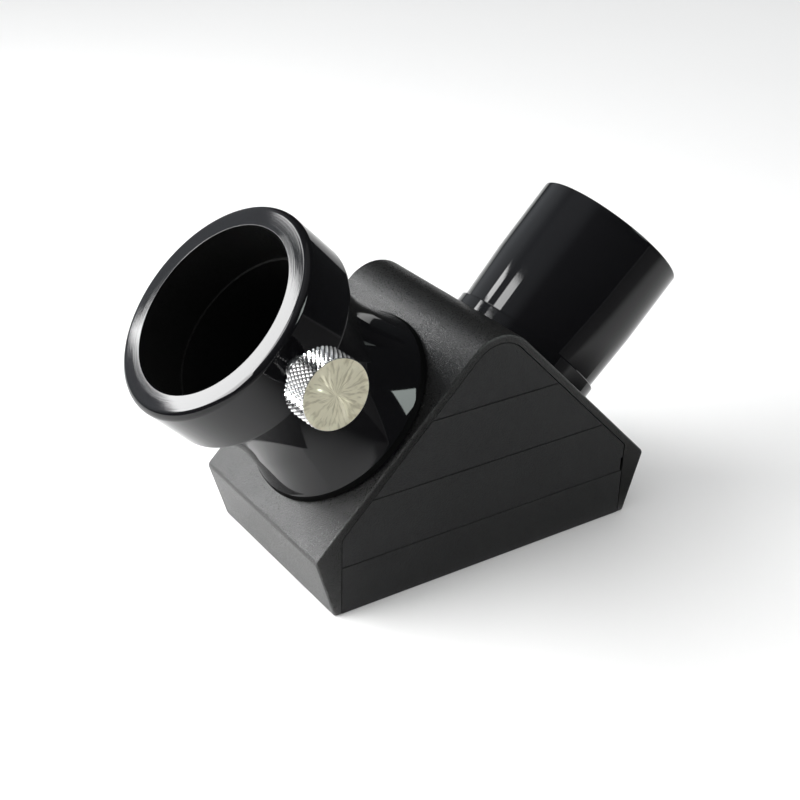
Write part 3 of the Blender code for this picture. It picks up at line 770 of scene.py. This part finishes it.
def build_base_cover(finish):
    """A channel: the floor of the housing, with a skirt up each side."""
    inner = HALF_WIDTH - PANEL_THICKNESS
    top = SKIRT_HEIGHT - PANEL_SEAM / 2
    corners = [(-HALF_WIDTH, 0), (HALF_WIDTH, 0), (HALF_WIDTH, top), (inner, top), (inner, COVER_THICKNESS),
               (-inner, COVER_THICKNESS), (-inner, top), (-HALF_WIDTH, top)]
    radii = [EDGE, EDGE, FINE_EDGE, FINE_EDGE, EDGE, EDGE, FINE_EDGE, FINE_EDGE]
    half_length = PANEL_HALF_LENGTH - PANEL_SEAM / 2
    bm = prism(rounded(corners, radii), -half_length, half_length, along="X", edge=FINE_EDGE * 0.6)

    head, shank = BASE_SCREW_HEAD_RADIUS + FINE_EDGE, BASE_SCREW_RADIUS + FINE_EDGE
    cone_height = BASE_SCREW_HEAD_RADIUS - BASE_SCREW_RADIUS
    profile = [(0, -WALL), (head + SEAM, -WALL), (head + SEAM, -SEAM / 2), (head, SEAM / 2), (head, SEAM),
               (shank, SEAM + cone_height), (shank, WALL), (0, WALL)]
    for place in BOSSES:
        bm = cut(bm, shifted(turned(profile), place))
    for side_x in (-1, 1):
        bm = cut(bm, cylinder(CLIP_SCREW_RADIUS + SEAM / 2, 2 * SEAM, WALL, (side_x * CLIP_SCREW_X, 0, 0)))
    finish_piece("base_cover_channel", bm, [finish], "base_cover", sharp=28)


def cross_recess(arm, width, depth, mouth, sign):
    """A tapered cross that a driver fits. It opens at height `mouth`, upwards for sign 1, down for -1."""
    bm = bmesh.new()
    loops = []
    half, narrow = width / 2, width / 2 * CROSS_NARROWING
    top, bottom = mouth + sign * depth * CROSS_OVERSHOOT, mouth - sign * depth
    for height, end in ((top, arm * CROSS_MOUTH), (bottom, arm * CROSS_BOTTOM)):
        loop = []
        for quarter in range(4):
            turn = Matrix.Rotation(quarter * QUARTER, 2)
            for corner in ((half, half), (narrow, end), (-narrow, end)):
                loop.append(bm.verts.new((*(turn @ Vector(corner)), height)))
        loops.append(loop)
    bridged(bm, loops)
    return bm


def build_base_screws(finish):
    """Countersunk cross-head screws with a rolled thread, driven up from below."""
    sink, head, shank, end = BASE_SCREW_SINK, BASE_SCREW_HEAD_RADIUS, BASE_SCREW_RADIUS, BASE_SCREW_LENGTH
    cone_top = sink + head - shank

    def profile(angle):
        thread = thread_profile(angle, cone_top + SEAM, end - SEAM, shank, BASE_SCREW_THREAD)
        return [(0, sink), (head - FINE_EDGE, sink), (head, sink + FINE_EDGE), (shank, cone_top), *thread,
                (shank - SEAM, end), (0, end)]

    for index, place in enumerate(BOSSES, start=1):
        node = f"base_screw_{index}"
        bm = shifted(cut(swept(profile, SMALL_SEGMENTS), cross_recess(*BASE_SCREW_CROSS, sink, -1)), place)
        finish_piece(f"{node}_threaded", bm, [finish], node)


def build_mirror_pad(finish):
    pad = rounded_box(PAD_LOW, PAD_HIGH, EDGE, 3)
    finish_piece("mirror_pad_foam", pad, [finish], "mirror_pad", sharp=32)


def build_mirror(glass, silver):
    """Flat glass, silvered on its front."""
    front = MIRROR_HIGH.z - (MIRROR_HIGH.z - MIRROR_LOW.z) * 0.1

    def choose(face):
        return 1 if face.normal.z > 0.9 and face.center.z > front else 0

    mirror = rounded_box(MIRROR_LOW, MIRROR_HIGH, EDGE, 1)
    finish_piece("mirror_glass", mirror, [glass, silver], "mirror", choose=choose, sharp=32)


def clip_screw_hole(side_x):
    return cylinder(CLIP_SCREW_RADIUS + SEAM / 2, 0, CELL_HIGH.z + WALL, (side_x * CLIP_SCREW_X, 0, 0))


def build_mirror_clip(side, side_x, finish):
    """A spring that holds one end of the mirror down and is bent to lie on the cell's rim."""
    hold = MIRROR_HIGH.z + SEAM
    bend_start = MIRROR_HIGH.x + CLIP_BEND_OFFSET
    under = [(MIRROR_HIGH.x - CLIP_OVERLAP, hold), (bend_start, hold),
             (bend_start + CLIP_BEND_LENGTH, CLIP_FOOT), (CELL_HIGH.x - SEAM, CLIP_FOOT)]
    over = [(x, z + CLIP_THICKNESS) for x, z in reversed(under)]
    tip, bend, fold = FINE_EDGE, CLIP_THICKNESS, CLIP_THICKNESS / 2
    soft = rounded(under + over, [tip, bend, bend, tip, tip, fold, fold, tip], 3)
    bm = prism([(side_x * x, z) for x, z in soft], -CLIP_HALF_WIDTH, CLIP_HALF_WIDTH, edge=FINE_EDGE * 0.5)
    bm = cut(bm, clip_screw_hole(side_x))
    finish_piece(f"mirror_clip_{side}_spring", bm, [finish], f"mirror_clip_{side}", sharp=32)


def build_clip_screw(side, side_x, finish):
    """A small cross-head screw that goes through a clip and the cell into the cover."""
    shank, head = CLIP_SCREW_RADIUS, CLIP_SCREW_HEAD_RADIUS
    head_low = CLIP_FOOT + CLIP_THICKNESS + SEAM
    head_high = head_low + CLIP_SCREW_HEAD_HEIGHT
    end = 3 * SEAM

    def profile(angle):
        thread = thread_profile(angle, end + SEAM, head_low - SEAM, shank, CLIP_SCREW_THREAD)
        dome = arc((head - EDGE, head_high - EDGE), EDGE, 0, QUARTER, 4)
        return [(0, end), (shank - SEAM, end), *thread, (shank, head_low), (head, head_low), *dome,
                (0, head_high)]

    bm = cut(swept(profile, SMALL_SEGMENTS), cross_recess(*CLIP_SCREW_CROSS, head_high, 1))
    bm = shifted(bm, (side_x * CLIP_SCREW_X, 0, 0))
    finish_piece(f"clip_screw_{side}_threaded", bm, [finish], f"clip_screw_{side}")


def build_mirror_cell(finish):
    """The tray on the cover that carries pad and mirror."""
    pocket_low = (MIRROR_LOW.x - SEAM, MIRROR_LOW.y - SEAM, PAD_LOW.z - SEAM)
    pocket_high = (MIRROR_HIGH.x + SEAM, MIRROR_HIGH.y + SEAM, CELL_HIGH.z + WALL)
    bm = cut(rounded_box(CELL_LOW, CELL_HIGH, EDGE), rounded_box(pocket_low, pocket_high))
    for side_x in (-1, 1):
        bm = cut(bm, clip_screw_hole(side_x))
    finish_piece("mirror_cell_tray", bm, [finish], "mirror_cell", sharp=28)


def build_mirror_group(cell, pad, glass, silver, clip, screw):
    build_mirror_pad(pad)
    build_mirror(glass, silver)
    for side, side_x in (("left", -1), ("right", 1)):
        build_mirror_clip(side, side_x, clip)
        build_clip_screw(side, side_x, screw)
    build_mirror_cell(cell)


def flare_radius(reach):
    """The neck's outline: a cove under the collar, then the waist, then a bell down to the flange."""
    along = (COLLAR_BACK_REACH - reach) / (COLLAR_BACK_REACH - FLARE_RIM_REACH)
    bell = (FLARE_RIM_RADIUS - WAIST_RADIUS) * along ** FLARE_POWER
    cove = COVE_RISE * max(0.0, 1 - along / COVE_SHARE) ** 2
    return WAIST_RADIUS + bell + cove


def spigot_profile(angle, radius):
    """The threaded end inside the housing, up to its seat."""
    thread = thread_profile(angle, SPIGOT_REACH + SEAM, SEAT_REACH - 2 * SEAM, radius, SPIGOT_THREAD)
    return [(LIGHT_PATH_RADIUS + SEAM, SPIGOT_REACH), (radius - SEAM, SPIGOT_REACH), *thread,
            (radius - SEAM, SEAT_REACH)]


def build_eyepiece_holder(gloss, faced, bore, dull_flange_side):
    """The eyepiece holder: threaded spigot, waisted neck, collar with a rounded rim and a stepped bore."""
    length = COLLAR_BACK_REACH - FLARE_RIM_REACH
    flare = [FLARE_RIM_REACH + length * i / FLARE_STEPS for i in range(FLARE_STEPS + 1)]
    edge = COLLAR_EDGE_RADIUS
    edge_centre = (COLLAR_RADIUS - edge, HOLDER_FACE_REACH - edge)
    lip_centre = (HOLDER_MOUTH_RADIUS + FINE_EDGE, HOLDER_FACE_REACH - FINE_EDGE)

    def profile(angle):
        return [
            *spigot_profile(angle, HOLDER_SPIGOT_RADIUS),
            (FLANGE_RADIUS - FINE_EDGE, SEAT_REACH),
            (FLANGE_RADIUS, SEAT_REACH + FINE_EDGE),
            (FLARE_RIM_RADIUS + FINE_EDGE, FLARE_RIM_REACH - FINE_EDGE),
            *[(flare_radius(reach), reach) for reach in flare],
            (COLLAR_RADIUS - SEAM, COLLAR_BACK_REACH),
            (COLLAR_RADIUS - FINE_EDGE / 2, COLLAR_BACK_REACH + FINE_EDGE),
            (COLLAR_RADIUS, COLLAR_BACK_REACH + 2 * SEAM),
            *arc(edge_centre, edge, 0, QUARTER, 12),
            *arc(lip_centre, FINE_EDGE, QUARTER, 2 * QUARTER, 4),
            (HOLDER_MOUTH_RADIUS, HOLDER_STEP_REACH),
            (HOLDER_BORE_RADIUS, HOLDER_STEP_REACH - FINE_EDGE / 2),
            (HOLDER_BORE_RADIUS, HOLDER_STOP_REACH),
            (LIGHT_PATH_RADIUS, HOLDER_STOP_REACH),
            (LIGHT_PATH_RADIUS, SPIGOT_REACH + SEAM),
        ]

    own = axis_matrix(OPTICAL_CENTRE, EYEPIECE_AXIS)
    hole_radius = STUD_RADIUS + FINE_EDGE
    far = 2 * COLLAR_EDGE_RADIUS
    hole = turned([(0, -COLLAR_RADIUS / 2), (hole_radius, -COLLAR_RADIUS / 2), (hole_radius, -SEAM),
                   (hole_radius + far, far - SEAM), (0, far - SEAM)])
    drill = own.inverted() @ axis_matrix(SCREW_BASE, SCREW_AXIS)
    bm = cut(swept(profile, TUBE_SEGMENTS), moved(hole, drill))

    def choose(face):
        across = math.hypot(face.center.x, face.center.y)
        if abs(face.normal.z) > 0.999 and face.center.z > HOLDER_FACE_REACH - FINE_EDGE:
            return 1
        # The flange's side wall below the flare's rim gets the dull near-black finish, darker than the gloss
        # around it.
        if across > FLARE_RIM_RADIUS and face.center.z < FLARE_RIM_REACH:
            return 3
        inside = across < HOLDER_MOUTH_RADIUS + FINE_EDGE / 4
        return 2 if inside and face.center.z > HOLDER_STOP_REACH - SEAM else 0

    finish_piece("eyepiece_holder_body", bm, [gloss, faced, bore, dull_flange_side], "eyepiece_holder",
                 matrix=own, choose=choose)


def build_nose_tube(gloss, faced, bore):
    """The nose barrel: threaded spigot, shoulder, slight safety taper and a filter thread in its mouth."""
    end = NOSE_END_REACH
    thread_low = end - FILTER_THREAD_DEPTH

    def profile(angle):
        filter_thread = thread_profile(angle, thread_low + SEAM, end - SEAM, FILTER_THREAD_RADIUS - SEAM,
                                       FILTER_THREAD, outward=False)
        return [
            *spigot_profile(angle, NOSE_SPIGOT_RADIUS),
            (NOSE_SHOULDER_RADIUS - FINE_EDGE, SEAT_REACH),
            (NOSE_SHOULDER_RADIUS, SEAT_REACH + FINE_EDGE),
            (NOSE_SHOULDER_RADIUS, NOSE_SHOULDER_REACH - FINE_EDGE),
            (NOSE_SHOULDER_RADIUS - FINE_EDGE, NOSE_SHOULDER_REACH),
            (NOSE_WAIST_RADIUS - FINE_EDGE / 2, NOSE_SHOULDER_REACH),
            (NOSE_WAIST_RADIUS, NOSE_SHOULDER_REACH + FINE_EDGE),
            (BARREL_RADIUS, NOSE_TAPER_REACH),
            (BARREL_RADIUS, end - EDGE),
            *arc((BARREL_RADIUS - EDGE, end - EDGE), EDGE, 0, QUARTER, 6),
            (FILTER_THREAD_RADIUS, end),
            *reversed(filter_thread),
            (FILTER_THREAD_RADIUS, thread_low),
            (LIGHT_PATH_RADIUS, thread_low),
            (LIGHT_PATH_RADIUS, SPIGOT_REACH + SEAM),
        ]

    def choose(face):
        if face.normal.z > 0.99 and face.center.z > end - FINE_EDGE:
            return 1
        return 2 if math.hypot(face.center.x, face.center.y) < FILTER_THREAD_RADIUS + FINE_EDGE else 0

    finish_piece("nose_barrel", swept(profile, TUBE_SEGMENTS), [gloss, faced, bore], "nose_tube",
                 matrix=axis_matrix(OPTICAL_CENTRE, NOSE_AXIS), choose=choose)


def build_lock_ring(node, axis, spigot_radius, finish):
    """The slotted ring that draws a tube's shoulder against the housing from inside."""
    inner = spigot_radius + SEAM
    outer = inner + LOCK_RING_WIDTH
    high = FACE_REACH - WALL - SEAM
    low = high - LOCK_RING_HEIGHT

    def profile(angle):
        thread = thread_profile(angle, low + SEAM, high - SEAM, inner, SPIGOT_THREAD, outward=False)
        return [(inner + SEAM, low), (outer - EDGE, low), (outer, low + EDGE), (outer, high - EDGE),
                (outer - EDGE, high), (inner + SEAM, high), *reversed(thread)]

    bm = swept(profile, TUBE_SEGMENTS)
    half = LOCK_RING_SLOT_WIDTH / 2
    for quarter in range(4):
        slot = rounded_box((inner - WALL, -half, low - WALL),
                           (outer + WALL, half, low + LOCK_RING_SLOT_DEPTH))
        bm = cut(bm, moved(slot, Matrix.Rotation(quarter * QUARTER, 4, "Z")))
    finish_piece(f"{node}_slotted", bm, [finish], node, matrix=axis_matrix(OPTICAL_CENTRE, axis))


def knurl_height(angle, along):
    """Height of a diamond knurl, from 0 in the grooves to 1 on the flattened points."""
    turn = along * math.tan(KNURL_ANGLE) / HEAD_RADIUS
    crests = []
    for direction in (1, -1):
        phase = ((angle + direction * turn) * KNURL_COUNT / (2 * math.pi)) % 1.0
        crests.append(1 - abs(2 * phase - 1))
    return min(1.0, min(crests) * 1.08)


def split_along_grooves(bm, low, high):
    """Cuts each face of the knurl along its lower diagonal, so that the grooves run straight."""
    for face in list(bm.faces):
        if len(face.verts) != 4 or not low < face.calc_center_median().z < high:
            continue
        if min(v.co.xy.length for v in face.verts) < HEAD_RADIUS - 2 * KNURL_DEPTH:
            continue
        a, b, c, d = face.verts
        if a.co.xy.length + c.co.xy.length < b.co.xy.length + d.co.xy.length:
            bmesh.utils.face_split(face, a, c)
        else:
            bmesh.utils.face_split(face, b, d)


def burst_height(angle, share):
    """Height, from -1 to 1, of the folds that run out from the end face's middle. `share` is 1 at its rim."""
    bent = angle + 0.22 * math.sin(5 * share + 2 * angle)
    ring = Vector((math.cos(bent), math.sin(bent), 0)) * BURST_FOLDS
    fold = noise.noise(ring + Vector((0, 0, 0.9 * share)))
    crease = noise.noise(ring * 2.7 + Vector((5, 5, 1.3 * share)))
    return (fold + 0.45 * crease) * min(1.0, 1.8 * share)


def build_thumb_screw(bright, burst, knurl):
    """A knurled head on a threaded stud, with its end face dished inside a thin rim."""
    rim = HEAD_RIM
    tip_back = TIP_FRONT + TIP_LENGTH
    stud_end = tip_back + SEAM
    socket = TIP_PEG_RADIUS + FINE_EDGE
    socket_end = tip_back + TIP_PEG_LENGTH + SEAM
    groove_pitch = 2 * math.pi * HEAD_RADIUS / KNURL_COUNT / math.tan(KNURL_ANGLE)
    step = groove_pitch / KNURL_STEPS
    low = HEAD_BACK + 2 * FINE_EDGE
    rows = int((HEAD_FRONT - rim - low) / step)
    high = low + rows * step
    dish_radius = HEAD_RADIUS - 3.4 * rim

    def profile(angle):
        thread = thread_profile(angle, stud_end + SEAM, HEAD_BACK - SEAM, STUD_RADIUS, STUD_THREAD)
        knurl_points = []
        for k in range(rows + 1):
            depth = KNURL_DEPTH * (1 - knurl_height(angle, k * step))
            knurl_points.append((HEAD_RADIUS - depth, low + k * step))
        folds = []
        for k in range(1, BURST_RINGS):
            share = 1 - k / BURST_RINGS
            height = HEAD_FRONT - rim + BURST_DEPTH * burst_height(angle, share) * min(1.0, k / 2)
            folds.append((dish_radius * share, height))
        return [
            (0, socket_end),
            (socket, socket_end),
            (socket, stud_end),
            (STUD_RADIUS - 2 * SEAM, stud_end),
            *thread,
            (STUD_RADIUS - FINE_EDGE, HEAD_BACK),
            (HEAD_RADIUS - 2 * KNURL_DEPTH, HEAD_BACK),
            *knurl_points,
            (HEAD_RADIUS - rim, HEAD_FRONT - rim * 0.5),
            (HEAD_RADIUS - 1.4 * rim, HEAD_FRONT),
            (HEAD_RADIUS - 2.6 * rim, HEAD_FRONT),
            (dish_radius, HEAD_FRONT - 0.3 * rim),
            *folds,
            (0, HEAD_FRONT - rim),
        ]

    bm = swept(profile, KNURL_COUNT * KNURL_STEPS)
    split_along_grooves(bm, low, high)

    def choose(face):
        across = math.hypot(face.center.x, face.center.y)
        if low < face.center.z < high and across > HEAD_RADIUS - 1.5 * KNURL_DEPTH:
            return 2
        return 1 if across < HEAD_RADIUS - 1.4 * rim and face.center.z > high - KNURL_DEPTH else 0

    finish_piece("thumb_screw_knurled", bm, [bright, burst, knurl], "thumb_screw", "screw",
                 axis_matrix(SCREW_BASE, SCREW_AXIS), choose, 24)


def build_screw_tip(finish):
    """The nylon tip, with a peg that is pressed into the stud's end."""
    back = TIP_FRONT + TIP_LENGTH
    peg_end = back + TIP_PEG_LENGTH
    profile = [
        (0, TIP_FRONT),
        (TIP_RADIUS - EDGE, TIP_FRONT),
        *arc((TIP_RADIUS - EDGE, TIP_FRONT + EDGE), EDGE, -QUARTER, 0, 4),
        (TIP_RADIUS, back - FINE_EDGE),
        (TIP_RADIUS - FINE_EDGE, back),
        (TIP_PEG_RADIUS, back),
        (TIP_PEG_RADIUS, peg_end - FINE_EDGE),
        (TIP_PEG_RADIUS - FINE_EDGE, peg_end),
        (0, peg_end),
    ]
    finish_piece("thumb_screw_tip_nylon", turned(profile), [finish], "thumb_screw_tip", "screw_tip",
                 axis_matrix(SCREW_BASE, SCREW_AXIS))


# ---------------------------------------------------------------- stage

def build_floor(finish):
    bm = bmesh.new()
    bmesh.ops.create_circle(bm, cap_ends=True, segments=64, radius=FLOOR_RADIUS)
    add_mesh("floor", bm, [finish])


def build_painted_shade_sheet(finish):
    """Painted shade: lies just over the floor in front of the object. Only reflections show it, and it throws
    no shadow.
    """
    bm = bmesh.new()
    bmesh.ops.create_grid(bm, x_segments=1, y_segments=1, size=1)
    low, high = Vector((-SHADE_SHEET_REACH, -SHADE_SHEET_REACH, 0)), Vector((SHADE_SHEET_REACH, -HALF_WIDTH - SHADE_SHEET_GAP, 0))
    place = Matrix.Translation((low + high) / 2 + Vector((0, 0, SHADE_SHEET_GAP / 2)))
    moved(bm, place @ Matrix.Diagonal((*((high - low) / 2).xy, 1, 1)))
    painted_shade_plane = add_mesh("painted_shade_plane", bm, [finish])
    painted_shade_plane.visible_camera = False
    painted_shade_plane.visible_diffuse = False
    painted_shade_plane.visible_shadow = False


def direction(azimuth, elevation):
    """The way out from the object at angles in degrees. Azimuth 0 is -Y and 90 is +X."""
    a, e = math.radians(azimuth), math.radians(elevation)
    return Vector((math.sin(a) * math.cos(e), -math.cos(a) * math.cos(e), math.sin(e)))


def add_softbox(name, azimuth, elevation, roll, distance, width, height, radiance, colour, lights):
    """A rectangular light that faces the object from a direction given in degrees, as seen from the object.

    Radiance is what its face shows in a mirror. It lights "gloss", "diffuse" or "all" surfaces.
    """
    data = bpy.data.lights.new(name, "AREA")
    data.shape = "RECTANGLE"
    data.size = width
    data.size_y = height
    data.color = colour
    data.energy = radiance * math.pi * width * height
    way = direction(azimuth, elevation)
    turn = (-way).to_track_quat("-Z", "Y").to_matrix().to_4x4() @ Matrix.Rotation(math.radians(roll), 4, "Z")
    light = add_object(name, data, Matrix.Translation(LIGHT_TARGET + way * distance) @ turn)
    light.visible_camera = False
    light.visible_diffuse = lights != "gloss"
    light.visible_glossy = lights != "diffuse"


def build_world():
    """A pale surround for the camera, and for the object a dim studio with soft-edged bright walls."""
    world = bpy.data.worlds.new("studio")
    bpy.context.scene.world = world
    w = Nodes(world)
    w.tree.nodes.clear()
    way = w.coordinates("Generated")
    strength = STUDIO_DIM
    for azimuth, elevation, core, edge, radiance in STUDIO_GLOWS:
        start, end = math.cos(math.radians(edge)), math.cos(math.radians(core))
        facing = w.vector_math("DOT_PRODUCT", {0: way, 1: direction(azimuth, elevation)}, "Value")
        strength = w.math("ADD", w.soft_step(facing, start, end, radiance), strength)

    studio = w.add("ShaderNodeBackground", {"Color": (*STUDIO_COLOUR, 1), "Strength": strength})
    surround = w.add("ShaderNodeBackground", {"Color": (SURROUND, SURROUND, SURROUND, 1)})
    seen = w.add("ShaderNodeLightPath").outputs["Is Camera Ray"]
    mix = w.add("ShaderNodeMixShader", {"Fac": seen, 1: studio.outputs[0], 2: surround.outputs[0]})
    w.add("ShaderNodeOutputWorld", {"Surface": mix.outputs[0]})


def build_camera():
    data = bpy.data.cameras.new("camera")
    data.lens = CAMERA_LENS_MM
    data.sensor_width = 36.0
    data.clip_start = 0.01
    turn = (Matrix.Rotation(CAMERA_AZIMUTH, 4, "Z")
            @ Matrix.Rotation(QUARTER - CAMERA_ELEVATION, 4, "X")
            @ Matrix.Rotation(CAMERA_ROLL, 4, "Z"))
    bpy.context.scene.camera = add_object("camera", data, Matrix.Translation(CAMERA_PLACE) @ turn)


def main():
    build_camera()

    matt_black = grained_plastic("matt_black_housing", (0.002, 0.002, 0.002), (0.013, 0.013, 0.0122),
                                 rough=0.335, grain_size=0.00021, grain_depth=0.00012, shine=0.92)
    charcoal = grained_plastic("charcoal_panel", (0.016, 0.016, 0.0168), (0.044, 0.044, 0.0445),
                               rough=0.52, grain_size=0.00022, grain_depth=0.00018, shine=0.25)
    cell_black = grained_plastic("moulded_cell", (0.012, 0.012, 0.013), (0.022, 0.022, 0.023),
                                 rough=0.50, grain_size=0.0004, grain_depth=0.00003)
    bore_black = grained_plastic("satin_bore", (0.004, 0.004, 0.004), (0.009, 0.009, 0.009),
                                 rough=0.38, grain_size=0.0005, grain_depth=0.000004, shine=0.16)
    dull_flange_side = grained_plastic("dull_black_edge", (0.001, 0.001, 0.001), (0.003, 0.003, 0.003),
                           rough=0.65, grain_size=0.0003, grain_depth=0.00001, shine=0.05)
    gloss = gloss_black()
    faced = turned_face()
    ring = bright_metal("satin_black_ring", (0.035, 0.035, 0.037), 0.32)
    chrome = bright_metal("bright_knurl", (0.60, 0.60, 0.60), 0.12)
    zinc = bright_metal("black_zinc", (0.075, 0.075, 0.078), 0.30)
    spring = bright_metal("spring_steel", (0.55, 0.55, 0.56), 0.25)

    build_housing(matt_black)
    build_side_panel("side_panel_left", -1, charcoal)
    build_side_panel("side_panel_right", 1, charcoal)
    build_base_cover(charcoal)
    build_base_screws(zinc)
    build_mirror_group(cell_black, foam(), ground_glass(), mirror_coat(), spring, zinc)
    build_eyepiece_holder(gloss, faced, bore_black, dull_flange_side)
    build_nose_tube(gloss, faced, bore_black)
    build_lock_ring("holder_lock_ring", EYEPIECE_AXIS, HOLDER_SPIGOT_RADIUS, ring)
    build_lock_ring("nose_lock_ring", NOSE_AXIS, NOSE_SPIGOT_RADIUS, ring)
    build_thumb_screw(chrome, burst_metal(), knurl_metal())
    build_screw_tip(nylon())

    build_floor(pale_floor())
    # Painted shade: a sheet that puts the object's shadow into reflections of the floor.
    build_painted_shade_sheet(painted_shade_sheet())
    build_world()
    for softbox in SOFTBOXES:
        add_softbox(*softbox)
    bpy.context.scene.view_settings.view_transform = "Standard"


main()
